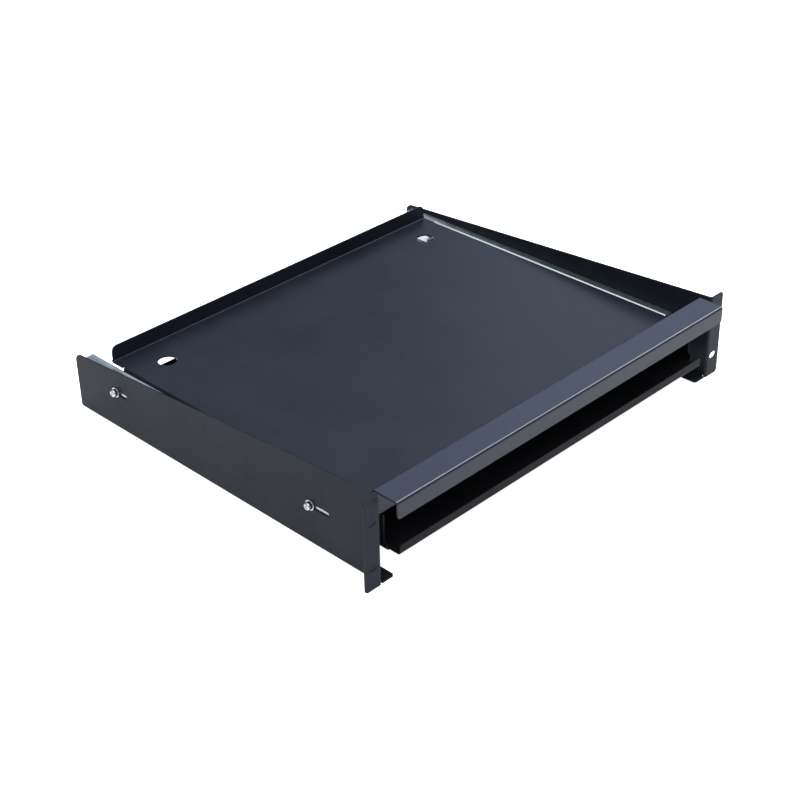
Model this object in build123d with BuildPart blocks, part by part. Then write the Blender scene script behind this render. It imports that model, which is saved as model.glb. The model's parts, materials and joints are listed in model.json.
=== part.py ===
"""Rack keyboard drawer, 2U: two side brackets, two ball slides, a tray and a keyboard pan.

Millimetres. X runs to the right seen from the front, Y runs into the rack, Z runs up.
The origin is the centre of the four ear slots, on the front plane of the ears.
Pieces that come in pairs are built on the right and mirrored to the left.
"""
from math import asin, atan2, cos, degrees, hypot, pi, radians, sin
import os

from build123d import *

os.makedirs("parts", exist_ok=True)

# Rack standard
RACK_UNIT = 44.45
EAR_UNITS = 2
PANEL_PLAY = 0.8            # an ear is this much lower than its rack units
EAR_SPAN = 482.6            # across both ears
EAR_W = 17.2                # from the side plate's outer face to the ear's edge
EAR_SLOT_INSET = 8.75       # from the ear's edge to the middle of its slots
EAR_SLOT_SPAN = EAR_SPAN - 2 * EAR_SLOT_INSET
EAR_SLOT_L = 10.0
EAR_SLOT_H = 7.0
EAR_CORNER_R = 3.0

# Folded sheet
BRACKET_T = 1.5
BODY_T = 1.5                # the sheet of the tray and the pan
BEND_R = 1.0                # inside radius of every fold
RELIEF = 1.5                # width of the notch at each end of the tray's side folds
BRACKET_RELIEF = 0.8        # and where the bracket's two folds meet

# Side brackets
BRACKET_SPAN = EAR_SPAN - 2 * EAR_W    # across the outer faces of the side plates
BRACKET_D = 405.6           # from the ears' front plane to the rear edge
BRACKET_REAR_H = 58.5       # height of the side plate at its rear edge
BRACKET_REAR_R = 8.0
FLANGE_W = 15.0             # bottom flange, from the side plate's inner face
FLANGE_FRONT_Y = 0.6
FLANGE_CORNER_R = 3.0
SIDE_SLOT_H = 4.8
FRONT_SLOT_L = 28.0
REAR_SLOT_L = 22.0

# Ball slides
SLIDE_Y = 44.0              # front end of the fixed member
SLIDE_REAR_ROOM = 11.6      # from the fixed member's rear end to the bracket's
SLIDE_Z = -3.8              # centre height of the slides
SLIDE_H = 35.0
SLIDE_T = 12.7              # from the bracket to the drawer's side
MEMBER_T = 1.0              # sheet of the three members
BALL_R = 1.5
RACE_PLAY = 0.05            # between a ball and each race
MOVE_GAP = 0.3              # between members and cages that pass each other
LIP_SETBACK = 1.2           # the outer lips end this far inside the slide's thickness
ROW_STEP = 2.9              # the inner ball rows lie this much nearer to the centre
RACE_SIDE = 30.0            # degrees of race beside the crown
LIP_ANGLE = 30.0            # where an outer race ends, degrees from level
TIP_ANGLE = 50.0            # where the moving member's race ends, degrees from level
ROLL_R = 1.5                # rolled bend beside a race, middle of the sheet
CORNER_R = 1.2              # rolled corner between web and flange, middle of the sheet
REAR_SETBACK = 8.0          # the sliding members end this far ahead of the fixed one
MIDDLE_SETBACK = 2.0        # the middle member starts this far behind the others

# Ball cages
CAGE_T = 0.4
CAGE_RISE = 0.3             # outer cage flange above the ball centres
CAGE_DROP = 0.5             # inner cage flange below the ball centres
CAGE_EDGE = 0.4             # sheet left beside a ball hole
BALL_HOLE_PLAY = 0.1
BALLS_PER_ROW = 3
CAGE_END = 8.0              # from the cage's end to its first ball
CAGE_WINDOWS = 2
CAGE_BAR = 12.0             # sheet left beside a window
STOP_L = 2.0                # length of the pressed stops
STOP_H = 8.0

# Web holes of the slides
WINDOW_L = 30.0
WINDOW_H = 13.0
SPARE_SLOT_L = 9.0
SPARE_SLOT_W = 4.6
SPARE_STEP = 24.0           # from a screw to the spare slot beside it

# Rear stop of each slide
BUMPER_DEPTH = 9.0
BUMPER_H = 24.0
BUMPER_R = 1.5
BUMPER_GROOVE = 3.0

# Fasteners
SHANK_R = 2.0
HEAD_R = 4.0
HEAD_H = 3.1
HEAD_EDGE = 1.1             # bevel round the head
THREAD_PLAY = 0.05
SCREW_PLAY = 0.2            # clearance hole over the shank
WASHER_R = 5.5
WASHER_T = 0.8
SPRING_WASHER_R = 3.8
SPRING_WASHER_T = 0.9
SPRING_PLAY = 0.1           # between the spring washer and the shank
SPRING_SLIT = 0.7
SPRING_TURN = 35.0          # where the slit lies, degrees
BRACKET_SCREW_FRONT = 38.0  # from the fixed member's front end
BRACKET_SCREW_REAR = 48.0   # from its rear end
DRAWER_SCREW_FRONT = 35.0   # from the moving member's front end
DRAWER_SCREW_REAR = 51.0    # from its rear end
DRAWER_SCREW_TIP = 0.8      # how far a drawer screw stands through the moving member

# Tray
TRAY_TOP_Z = 15.0
TRAY_REAR_ROOM = 18.5       # from the rear lip to the moving member's rear end
TRAY_LIP_H = 15.0           # rear lip above the tray
TRAY_LIP_R = 6.0
TRAY_LIP_SIDE = 0.9         # the rear lip is this much narrower on each side
TRAY_SIDE_H = 34.2          # side flange, below the tray's top
TRAY_SIDE_REAR = 17.5       # the side flange ends this far ahead of the rear lip
RISER_Y = 11.3              # front face of the riser
HOOD_Z = 42.1               # top of the hood
HOOD_FRONT_Y = -15.7
HOOD_PLAY = 5.7             # from the hood's end to the side plate's outer face
HOOD_SPAN = BRACKET_SPAN - 2 * HOOD_PLAY
HOOD_LIP_H = 16.5
HOOD_LIP_R = 3.0
CABLE_HOLE_R = 9.0
CABLE_HOLE_SIDE = 35.9      # from the tray's side
CABLE_HOLE_REAR = 37.5      # from the rear lip's rear face

# Keyboard pan
PAN_BOTTOM_Z = -22.05
PAN_FRONT_Y = -4.3
PAN_REAR_SETBACK = 0.5      # the pan's rear lip is this far ahead of the tray's
PAN_LIP_H = 9.8             # front and rear lips, from the bottom
PAN_LIP_R = 3.0
PAN_LIP_PLAY = 1.4          # from a lip's end to the side wall's inner face
PAN_WALL_LOW_Y = 7.9        # front edge of the side wall's foot
PAN_WALL_HIGH_Y = 11.5      # and of the wall above it
PAN_WALL_FOOT_H = 5.5       # from the pan's bottom to the slope between them
PAN_WALL_SLOPE_H = 2.8
PAN_WALL_PLAY = 1.6         # side wall's top edge below the tray's underside

# Worked out from the sizes above
ear_h = EAR_UNITS * RACK_UNIT - PANEL_PLAY
ear_slot_rise = (EAR_UNITS - 1) * RACK_UNIT
bottom_z = -ear_h / 2
plate_out_x = BRACKET_SPAN / 2
plate_in_x = plate_out_x - BRACKET_T
tray_half = plate_in_x - SLIDE_T
pan_half = tray_half - BODY_T
pan_wall_in_x = pan_half - BODY_T
pan_lip_span = 2 * (pan_wall_in_x - PAN_LIP_PLAY)
tray_under_z = TRAY_TOP_Z - BODY_T

# directions from an arc's centre, degrees
UP = degrees(pi / 2)
LEFT = 2 * UP
DOWN = -UP

race_r = BALL_R + RACE_PLAY
race_mid_r = race_r + MEMBER_T / 2
race_out_r = race_r + MEMBER_T
outer_row_v = SLIDE_H / 2 - MEMBER_T - race_r
inner_row_v = outer_row_v - ROW_STEP
outer_cage_u = MEMBER_T + MOVE_GAP + CAGE_T / 2
middle_web_u = outer_cage_u + CAGE_T / 2 + MOVE_GAP + MEMBER_T / 2
inner_cage_u = middle_web_u + MEMBER_T / 2 + MOVE_GAP + CAGE_T / 2
inner_row_u = inner_cage_u + CAGE_T / 2 + MOVE_GAP + race_out_r * cos(radians(TIP_ANGLE))
outer_row_u = SLIDE_T - LIP_SETBACK - race_out_r * cos(radians(LIP_ANGLE))
inner_web_u = SLIDE_T - MEMBER_T / 2
roll_run = (race_mid_r + ROLL_R) * sin(radians(RACE_SIDE))
roll_drop = race_mid_r * cos(radians(RACE_SIDE)) - ROLL_R * (1 - cos(radians(RACE_SIDE)))

slide_rear_y = BRACKET_D - SLIDE_REAR_ROOM
slide_l = slide_rear_y - SLIDE_Y
travel = slide_l            # full extension
member_rear_y = slide_rear_y - REAR_SETBACK
middle_front_y = SLIDE_Y + MIDDLE_SETBACK
cage_rear_y = member_rear_y - travel / 4 - STOP_L - MOVE_GAP
cage_front_y = middle_front_y + travel / 4 + STOP_L + MOVE_GAP
cage_l = cage_rear_y - cage_front_y
cage_mid_y = (cage_front_y + cage_rear_y) / 2
ball_pitch = (cage_l - 2 * CAGE_END) / (BALLS_PER_ROW - 1)
cage_window_l = (cage_l - (CAGE_WINDOWS + 1) * CAGE_BAR) / CAGE_WINDOWS

bracket_screw_ys = (SLIDE_Y + BRACKET_SCREW_FRONT, slide_rear_y - BRACKET_SCREW_REAR)
drawer_screw_front_y = SLIDE_Y + DRAWER_SCREW_FRONT
drawer_screw_rear_y = member_rear_y - DRAWER_SCREW_REAR
drawer_screw_ys = (drawer_screw_front_y, (drawer_screw_front_y + drawer_screw_rear_y) / 2,
                   drawer_screw_rear_y)

tray_rear_y = member_rear_y - TRAY_REAR_ROOM
tray_side_rear_y = tray_rear_y - TRAY_SIDE_REAR
pan_rear_y = tray_rear_y - PAN_REAR_SETBACK

slide_plane = Plane(origin=(plate_in_x, SLIDE_Y, SLIDE_Z), x_dir=(-1, 0, 0), z_dir=(0, 1, 0))


def write(piece, name):
    """Label a finished piece and write its STEP file."""
    piece.label = name
    export_step(piece, f"parts/{name}.step")


def write_pair(piece, name):
    """Write the right piece and its mirror image on the left."""
    write(piece, f"right_{name}")
    with BuildPart() as left:
        add(piece)
        mirror(about=Plane.YZ, mode=Mode.REPLACE)
    write(left.part, f"left_{name}")


def folded_sheet(plane, points, thickness):
    """Section of a folded sheet: the middle line through the points, thickened."""
    with BuildSketch(plane) as section:
        with BuildLine():
            FilletPolyline(*points, radius=BEND_R + thickness / 2)
        trace(line_width=thickness)
    return section.sketch


def side_holes(x, places, size, shape):
    """Round holes or level slots, seen from the side, as a sketch at this X."""
    with BuildSketch(Plane.YZ.offset(x)) as holes:
        with Locations(*places):
            if shape == "round":
                Circle(size)
            else:
                SlotOverall(size[0], size[1])
    return holes.sketch


def side_points(ys):
    """Points at the slide's height for each Y."""
    return [(y, SLIDE_Z) for y in ys]


# Side bracket: ear, side plate and bottom flange, folded from one sheet
bend_out = BEND_R + BRACKET_T
plate_mid_x = plate_out_x - BRACKET_T / 2
flange_in_x = plate_in_x - FLANGE_W
flange_fold_y = bend_out + BRACKET_RELIEF
ear_path = [(EAR_SPAN / 2, BRACKET_T / 2), (plate_mid_x, BRACKET_T / 2), (plate_mid_x, BRACKET_D)]
flange_path = [(plate_mid_x, 0), (plate_mid_x, bottom_z + BRACKET_T / 2),
               (flange_in_x, bottom_z + BRACKET_T / 2)]
slot_centres = [(bracket_screw_ys[0] + SIDE_SLOT_H - FRONT_SLOT_L / 2, SLIDE_Z),
                (bracket_screw_ys[1] + SIDE_SLOT_H - REAR_SLOT_L / 2, SLIDE_Z)]

with BuildPart() as bracket:
    extrude(folded_sheet(Plane.XY.offset(bottom_z), ear_path, BRACKET_T), amount=ear_h)
    with BuildSketch(Plane.YZ.offset(plate_in_x)) as fold_room:
        with Locations((bend_out, bottom_z)):
            Rectangle(BRACKET_D, bend_out, align=(Align.MIN, Align.MIN))
    extrude(amount=BRACKET_T, mode=Mode.SUBTRACT)
    extrude(folded_sheet(Plane.XZ.offset(-flange_fold_y), flange_path, BRACKET_T),
            amount=-(BRACKET_D - flange_fold_y))
    with BuildSketch(Plane.XY.offset(bottom_z)) as flange_tongue:
        with Locations((flange_in_x, FLANGE_FRONT_Y)):
            Rectangle(plate_out_x - bend_out - flange_in_x, flange_fold_y + BRACKET_RELIEF,
                      align=(Align.MIN, Align.MIN))
    extrude(amount=BRACKET_T)
    with BuildSketch(Plane.YZ.offset(flange_in_x)) as side_outline:
        with BuildLine():
            Polyline((-BRACKET_T, bottom_z), (BRACKET_D, bottom_z),
                     (BRACKET_D, bottom_z + BRACKET_REAR_H), (bend_out, ear_h / 2),
                     (-BRACKET_T, ear_h / 2), close=True)
        make_face()
        rear_top = side_outline.vertices().group_by(Axis.X)[-1].sort_by(Axis.Y)[-1]
        fillet(rear_top, radius=BRACKET_REAR_R)
    extrude(amount=EAR_SPAN / 2 - flange_in_x, mode=Mode.INTERSECT)
    fillet(bracket.edges().filter_by(Axis.Y).group_by(Axis.X)[-1], radius=EAR_CORNER_R)
    fillet(bracket.edges().filter_by(Axis.Z).group_by(Axis.X)[0], radius=FLANGE_CORNER_R)
    with BuildSketch(Plane.XZ) as ear_slots:
        with Locations((EAR_SLOT_SPAN / 2, 0)):
            with GridLocations(0, ear_slot_rise, 1, EAR_UNITS):
                SlotOverall(EAR_SLOT_L, EAR_SLOT_H)
    extrude(amount=-BRACKET_T, mode=Mode.SUBTRACT)
    extrude(side_holes(plate_in_x, slot_centres[:1], (FRONT_SLOT_L, SIDE_SLOT_H), "slot"),
            amount=BRACKET_T, mode=Mode.SUBTRACT)
    extrude(side_holes(plate_in_x, slot_centres[1:], (REAR_SLOT_L, SIDE_SLOT_H), "slot"),
            amount=BRACKET_T, mode=Mode.SUBTRACT)
write_pair(bracket.part, "bracket")


# Fixed slide member: web on the bracket, rolled flanges that hook over the outer balls
outer_flange_v = outer_row_v + roll_drop
outer_roll_u = outer_row_u - roll_run
spare_ys = [y + SPARE_STEP for y in bracket_screw_ys]

with BuildPart() as slide_outer:
    with BuildSketch(slide_plane) as outer_section:
        with BuildLine():
            FilletPolyline((MEMBER_T / 2, 0), (MEMBER_T / 2, outer_flange_v),
                           (outer_roll_u, outer_flange_v), radius=CORNER_R)
            CenterArc((outer_roll_u, outer_flange_v + ROLL_R), ROLL_R, DOWN, RACE_SIDE)
            CenterArc((outer_row_u, outer_row_v), race_mid_r, UP + RACE_SIDE,
                      LIP_ANGLE - UP - RACE_SIDE)
            mirror(about=Plane.XZ)
        trace(line_width=MEMBER_T)
    extrude(amount=slide_l)
    with BuildSketch(Plane.YZ.offset(plate_in_x - MEMBER_T)) as cage_stop:
        with Locations((SLIDE_Y + STOP_L / 2, SLIDE_Z)):
            Rectangle(STOP_L, STOP_H)
    extrude(amount=-(MOVE_GAP + CAGE_T))
    extrude(side_holes(plate_in_x, side_points(bracket_screw_ys), SHANK_R + THREAD_PLAY, "round"),
            amount=-MEMBER_T, mode=Mode.SUBTRACT)
    extrude(side_holes(plate_in_x, side_points(spare_ys), (SPARE_SLOT_L, SPARE_SLOT_W), "slot"),
            amount=-MEMBER_T, mode=Mode.SUBTRACT)
write_pair(slide_outer.part, "slide_outer")


# Middle slide member: an S-shaped flange carries the outer balls above and the inner balls below
middle_flange_v = inner_row_v + roll_drop
middle_roll_u = inner_row_u - roll_run
rows_apart = hypot(outer_row_u - inner_row_u, ROW_STEP)
s_slope = degrees(atan2(ROW_STEP, outer_row_u - inner_row_u) - asin(2 * race_mid_r / rows_apart))
s_start = (inner_row_u + race_mid_r * cos(radians(UP + s_slope)),
           inner_row_v + race_mid_r * sin(radians(UP + s_slope)))
s_end = (outer_row_u - race_mid_r * cos(radians(UP + s_slope)),
         outer_row_v - race_mid_r * sin(radians(UP + s_slope)))
window_ys = (bracket_screw_ys[0], (SLIDE_Y + slide_rear_y) / 2, bracket_screw_ys[1])

with BuildPart() as slide_middle:
    with BuildSketch(slide_plane.offset(MIDDLE_SETBACK)) as middle_section:
        with BuildLine():
            FilletPolyline((middle_web_u, 0), (middle_web_u, middle_flange_v),
                           (middle_roll_u, middle_flange_v), radius=CORNER_R)
            CenterArc((middle_roll_u, middle_flange_v + ROLL_R), ROLL_R, DOWN, RACE_SIDE)
            CenterArc((inner_row_u, inner_row_v), race_mid_r, UP + RACE_SIDE, s_slope - RACE_SIDE)
            Line(s_start, s_end)
            CenterArc((outer_row_u, outer_row_v), race_mid_r, DOWN + s_slope,
                      UP - LIP_ANGLE - s_slope)
            mirror(about=Plane.XZ)
        trace(line_width=MEMBER_T)
    extrude(amount=member_rear_y - middle_front_y)
    with BuildSketch(Plane.YZ.offset(plate_in_x - middle_web_u + MEMBER_T / 2)) as rear_stop:
        with Locations((member_rear_y - STOP_L / 2, SLIDE_Z)):
            Rectangle(STOP_L, STOP_H)
    extrude(amount=MOVE_GAP + CAGE_T)
    with BuildSketch(Plane.YZ.offset(plate_in_x - middle_web_u - MEMBER_T / 2)) as front_stop:
        with Locations((middle_front_y + STOP_L / 2, SLIDE_Z)):
            Rectangle(STOP_L, STOP_H)
    extrude(amount=-(MOVE_GAP + CAGE_T))
    extrude(side_holes(plate_in_x - middle_web_u + MEMBER_T / 2, side_points(window_ys),
                       (WINDOW_L, WINDOW_H), "slot"), amount=-MEMBER_T, mode=Mode.SUBTRACT)
write_pair(slide_middle.part, "slide_middle")


# Moving slide member: web on the drawer's side, flanges that ride under the inner balls
inner_flange_v = inner_row_v - roll_drop
inner_roll_u = inner_row_u + roll_run
inner_stop_u = inner_roll_u + STOP_L / 2
inner_stop_v = inner_flange_v + MEMBER_T / 2
spare_drawer_ys = [y + SPARE_STEP for y in drawer_screw_ys]

with BuildPart() as slide_inner:
    with BuildSketch(slide_plane) as inner_section:
        with BuildLine():
            FilletPolyline((inner_web_u, 0), (inner_web_u, inner_flange_v),
                           (inner_roll_u, inner_flange_v), radius=CORNER_R)
            CenterArc((inner_roll_u, inner_flange_v - ROLL_R), ROLL_R, UP, RACE_SIDE)
            CenterArc((inner_row_u, inner_row_v), race_mid_r, LEFT + TIP_ANGLE,
                      UP + RACE_SIDE - TIP_ANGLE)
            mirror(about=Plane.XZ)
        trace(line_width=MEMBER_T)
    extrude(amount=member_rear_y - SLIDE_Y)
    with BuildSketch(slide_plane.offset(member_rear_y - SLIDE_Y)) as cage_stops:
        with Locations((inner_stop_u, inner_stop_v), (inner_stop_u, -inner_stop_v)):
            Rectangle(STOP_L, 2 * CAGE_T + MOVE_GAP)
    extrude(amount=-STOP_L)
    extrude(side_holes(plate_in_x - SLIDE_T, side_points(drawer_screw_ys), SHANK_R + THREAD_PLAY,
                       "round"), amount=MEMBER_T, mode=Mode.SUBTRACT)
    extrude(side_holes(plate_in_x - SLIDE_T, side_points(spare_drawer_ys),
                       (SPARE_SLOT_L, SPARE_SLOT_W), "slot"), amount=MEMBER_T, mode=Mode.SUBTRACT)
write_pair(slide_inner.part, "slide_inner")


# Ball cages and their balls: thin channels with a hole for each ball
def ball_cage(web_u, flange_v, row_u):
    """A cage between two members, on the right side."""
    edge_u = row_u + BALL_R + BALL_HOLE_PLAY + CAGE_EDGE
    with BuildPart() as cage:
        with BuildSketch(slide_plane.offset(cage_front_y - SLIDE_Y)):
            with BuildLine():
                FilletPolyline((edge_u, flange_v), (web_u, flange_v), (web_u, -flange_v),
                               (edge_u, -flange_v), radius=CAGE_T)
            trace(line_width=CAGE_T)
        extrude(amount=cage_l)
        with BuildSketch(Plane.XY.offset(SLIDE_Z)):
            with Locations((plate_in_x - row_u, cage_mid_y)):
                with GridLocations(0, ball_pitch, 1, BALLS_PER_ROW):
                    Circle(BALL_R + BALL_HOLE_PLAY)
        extrude(amount=SLIDE_H / 2, both=True, mode=Mode.SUBTRACT)
        with BuildSketch(Plane.YZ.offset(plate_in_x - web_u)):
            with Locations((cage_mid_y, SLIDE_Z)):
                with GridLocations(cage_window_l + CAGE_BAR, 0, CAGE_WINDOWS, 1):
                    SlotOverall(cage_window_l, WINDOW_H)
        extrude(amount=CAGE_T, both=True, mode=Mode.SUBTRACT)
    return cage.part


def ball_rows(row_u, row_v):
    """The balls of one cage: a row above and a row below."""
    with BuildPart() as balls:
        with Locations((plate_in_x - row_u, cage_mid_y, SLIDE_Z - row_v),
                       (plate_in_x - row_u, cage_mid_y, SLIDE_Z + row_v)):
            with GridLocations(0, ball_pitch, 1, BALLS_PER_ROW):
                Sphere(BALL_R)
    return balls.part


write_pair(ball_cage(outer_cage_u, outer_row_v + CAGE_RISE, outer_row_u), "outer_cage")
write_pair(ball_cage(inner_cage_u, inner_row_v - CAGE_DROP, inner_row_u), "inner_cage")
write_pair(ball_rows(outer_row_u, outer_row_v), "outer_balls")
write_pair(ball_rows(inner_row_u, inner_row_v), "inner_balls")


# Rear stop: a plastic block in the fixed member, just behind the sliding members
with BuildPart() as bumper:
    with BuildSketch(slide_plane.offset(member_rear_y + MOVE_GAP - SLIDE_Y)) as bumper_section:
        with Locations((MEMBER_T + BUMPER_DEPTH / 2, 0)):
            RectangleRounded(BUMPER_DEPTH, BUMPER_H, BUMPER_R)
        with Locations((MEMBER_T + BUMPER_DEPTH, 0)):
            SlotOverall(2 * BUMPER_GROOVE, BUMPER_GROOVE, mode=Mode.SUBTRACT)
    extrude(amount=slide_rear_y - member_rear_y - MOVE_GAP)
write_pair(bumper.part, "slide_bumper")


# Fasteners
def pan_screws(places, length):
    """Pan-head screws: the head's seat at each place, the head towards -X, the shank towards +X."""
    with BuildPart() as screw:
        with BuildSketch(Plane.XY) as half:
            with BuildLine():
                Polyline((length, 0), (length, SHANK_R), (0, SHANK_R), (0, HEAD_R),
                         (HEAD_EDGE - HEAD_H, HEAD_R), (-HEAD_H, HEAD_R - HEAD_EDGE),
                         (-HEAD_H, 0), close=True)
            make_face()
        revolve(axis=Axis.X)
    with BuildPart() as screws:
        with Locations(*places):
            add(screw.part)
    return screws.part


head_seat_x = plate_out_x + WASHER_T + SPRING_WASHER_T
bracket_screw_l = head_seat_x - plate_in_x + MEMBER_T
drawer_screw_l = 2 * BODY_T + MEMBER_T + DRAWER_SCREW_TIP
# a left bracket's screw heads face -X, so its screws are built there and mirrored to the right
bracket_places = [(-head_seat_x, y, SLIDE_Z) for y in bracket_screw_ys]
drawer_places = [(pan_wall_in_x, y, SLIDE_Z) for y in drawer_screw_ys]

left_screws = pan_screws(bracket_places, bracket_screw_l)
write(left_screws, "left_bracket_screws")
with BuildPart() as right_screws:
    add(left_screws)
    mirror(about=Plane.YZ, mode=Mode.REPLACE)
write(right_screws.part, "right_bracket_screws")
write_pair(pan_screws(drawer_places, drawer_screw_l), "drawer_screws")

with BuildPart() as washers:
    with BuildSketch(Plane.YZ.offset(plate_out_x)) as washer_face:
        with Locations(*side_points(bracket_screw_ys)):
            Circle(WASHER_R)
            Circle(SHANK_R + SCREW_PLAY, mode=Mode.SUBTRACT)
    extrude(amount=WASHER_T)
write_pair(washers.part, "bracket_washers")

with BuildPart() as spring_washers:
    with BuildSketch(Plane.YZ.offset(plate_out_x + WASHER_T)) as split_ring:
        with Locations(*[Location((y, SLIDE_Z), SPRING_TURN) for y in bracket_screw_ys]):
            Circle(SPRING_WASHER_R)
            Circle(SHANK_R + SPRING_PLAY, mode=Mode.SUBTRACT)
            Rectangle(SPRING_WASHER_R, SPRING_SLIT, align=(Align.MIN, Align.CENTER),
                      mode=Mode.SUBTRACT)
    extrude(amount=SPRING_WASHER_T)
write_pair(spring_washers.part, "spring_washers")


# Tray: one sheet with rear lip, side flanges, riser, hood and hood lip
half_t = BODY_T / 2
body_bend = BEND_R + BODY_T
riser_back_y = RISER_Y + BODY_T
tray_side_front_y = riser_back_y + BEND_R + RELIEF
hood_half = HOOD_SPAN / 2
tray_mid_z = TRAY_TOP_Z - half_t
lip_mid_y = tray_rear_y - half_t
riser_mid_y = RISER_Y + half_t
hood_mid_z = HOOD_Z - half_t
hood_mid_y = HOOD_FRONT_Y + half_t
side_mid_x = tray_half - half_t
tray_path = [(lip_mid_y, TRAY_TOP_Z + TRAY_LIP_H), (lip_mid_y, tray_mid_z),
             (riser_mid_y, tray_mid_z), (riser_mid_y, hood_mid_z),
             (hood_mid_y, hood_mid_z), (hood_mid_y, HOOD_Z - HOOD_LIP_H)]
side_flange_path = [(tray_half - 2 * body_bend, tray_mid_z), (side_mid_x, tray_mid_z),
                    (side_mid_x, TRAY_TOP_Z - TRAY_SIDE_H)]

with BuildPart() as tray:
    extrude(folded_sheet(Plane.YZ, tray_path, BODY_T), amount=hood_half, both=True)
    # behind the riser the sheet is narrower
    with BuildSketch(Plane.XY.offset(tray_under_z)) as narrowing:
        for side in (1, -1):
            with Locations((side * (tray_half + hood_half) / 2, riser_back_y)):
                Rectangle(hood_half - tray_half, tray_rear_y - riser_back_y,
                          align=(Align.CENTER, Align.MIN))
    extrude(amount=BODY_T + TRAY_LIP_H, mode=Mode.SUBTRACT)
    # room for the side folds, with a notch at each end of them
    with BuildSketch(Plane.XY.offset(tray_under_z)) as fold_slots:
        for side in (1, -1):
            with Locations((side * (tray_half - body_bend / 2), tray_side_front_y - RELIEF)):
                Rectangle(body_bend, tray_side_rear_y - tray_side_front_y + 2 * RELIEF,
                          align=(Align.CENTER, Align.MIN))
    extrude(amount=BODY_T, mode=Mode.SUBTRACT)
    extrude(folded_sheet(Plane.XZ.offset(-tray_side_front_y), side_flange_path, BODY_T),
            amount=-(tray_side_rear_y - tray_side_front_y))
    mirror(about=Plane.YZ)
    # rear lip: a little narrower, with round top corners
    with BuildSketch(Plane.XZ.offset(-tray_rear_y)) as lip_trim:
        with Locations((0, TRAY_TOP_Z + TRAY_LIP_H)):
            Rectangle(HOOD_SPAN, TRAY_LIP_H - BEND_R, align=(Align.CENTER, Align.MAX))
            RectangleRounded(2 * (tray_half - TRAY_LIP_SIDE), TRAY_LIP_H + 2 * TRAY_LIP_R,
                             TRAY_LIP_R, align=(Align.CENTER, Align.MAX), mode=Mode.SUBTRACT)
    extrude(amount=BODY_T, mode=Mode.SUBTRACT)
    with BuildSketch(Plane.XZ.offset(-HOOD_FRONT_Y)) as hood_corners:
        with Locations((0, HOOD_Z - HOOD_LIP_H)):
            Rectangle(HOOD_SPAN, HOOD_LIP_H, align=(Align.CENTER, Align.MIN))
            RectangleRounded(HOOD_SPAN, HOOD_LIP_H + 2 * HOOD_LIP_R, HOOD_LIP_R,
                             align=(Align.CENTER, Align.MIN), mode=Mode.SUBTRACT)
    extrude(amount=-BODY_T, mode=Mode.SUBTRACT)
    with BuildSketch(Plane.XY.offset(tray_under_z)) as cable_holes:
        with Locations((0, tray_rear_y - CABLE_HOLE_REAR)):
            with GridLocations(2 * (tray_half - CABLE_HOLE_SIDE), 0, 2, 1):
                Circle(CABLE_HOLE_R)
    extrude(amount=BODY_T, mode=Mode.SUBTRACT)
    for x in (tray_half - BODY_T, -tray_half):
        extrude(side_holes(x, side_points(drawer_screw_ys), SHANK_R + SCREW_PLAY, "round"),
                amount=BODY_T, mode=Mode.SUBTRACT)
write(tray.part, "tray")


# Keyboard pan: floor with front and rear lips, side walls inside the tray's side flanges
pan_lip_top_z = PAN_BOTTOM_Z + PAN_LIP_H
pan_mid_z = PAN_BOTTOM_Z + half_t
pan_top_z = tray_under_z - PAN_WALL_PLAY
pan_side_x = pan_half - half_t
pan_foot_z = PAN_BOTTOM_Z + PAN_WALL_FOOT_H
pan_path = [(pan_rear_y - half_t, pan_lip_top_z), (pan_rear_y - half_t, pan_mid_z),
            (PAN_FRONT_Y + half_t, pan_mid_z), (PAN_FRONT_Y + half_t, pan_lip_top_z)]
pan_side_path = [(-pan_side_x, pan_top_z), (-pan_side_x, pan_mid_z),
                 (pan_side_x, pan_mid_z), (pan_side_x, pan_top_z)]

with BuildPart() as pan:
    extrude(folded_sheet(Plane.XZ.offset(-PAN_WALL_LOW_Y), pan_side_path, BODY_T),
            amount=-(tray_side_rear_y - PAN_WALL_LOW_Y))
    with BuildSketch(Plane.YZ) as wall_front:
        with BuildLine():
            Polyline((PAN_WALL_LOW_Y, pan_foot_z), (PAN_WALL_HIGH_Y, pan_foot_z + PAN_WALL_SLOPE_H),
                     (PAN_WALL_HIGH_Y, pan_top_z), (PAN_WALL_LOW_Y, pan_top_z), close=True)
        make_face()
    extrude(amount=pan_half, both=True, mode=Mode.SUBTRACT)
    extrude(folded_sheet(Plane.YZ, pan_path, BODY_T), amount=pan_lip_span / 2, both=True)
    for lip_y in (PAN_FRONT_Y, pan_rear_y - BODY_T):
        with BuildSketch(Plane.XZ.offset(-lip_y)) as pan_corners:
            with Locations((0, pan_lip_top_z)):
                Rectangle(pan_lip_span, PAN_LIP_H, align=(Align.CENTER, Align.MAX))
                RectangleRounded(pan_lip_span, PAN_LIP_H + 2 * PAN_LIP_R, PAN_LIP_R,
                                 align=(Align.CENTER, Align.MAX), mode=Mode.SUBTRACT)
        extrude(amount=-BODY_T, mode=Mode.SUBTRACT)
    for x in (pan_wall_in_x, -pan_half):
        extrude(side_holes(x, side_points(drawer_screw_ys), SHANK_R + SCREW_PLAY, "round"),
                amount=BODY_T, mode=Mode.SUBTRACT)
write(pan.part, "keyboard_pan")
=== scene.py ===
"""Finish and set of a rack keyboard drawer, laid out as a Blender add-on and run as a script.

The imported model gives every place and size. The sheet metal, slides, cages and stops keep
their meshes and get finishes. The screws, washers and balls are made finer here.
Lengths are in metres.
"""
import json
import math

import bmesh
import bpy
from bpy.props import FloatProperty, FloatVectorProperty, IntProperty, PointerProperty
from mathutils import Euler, Matrix, Vector


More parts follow.
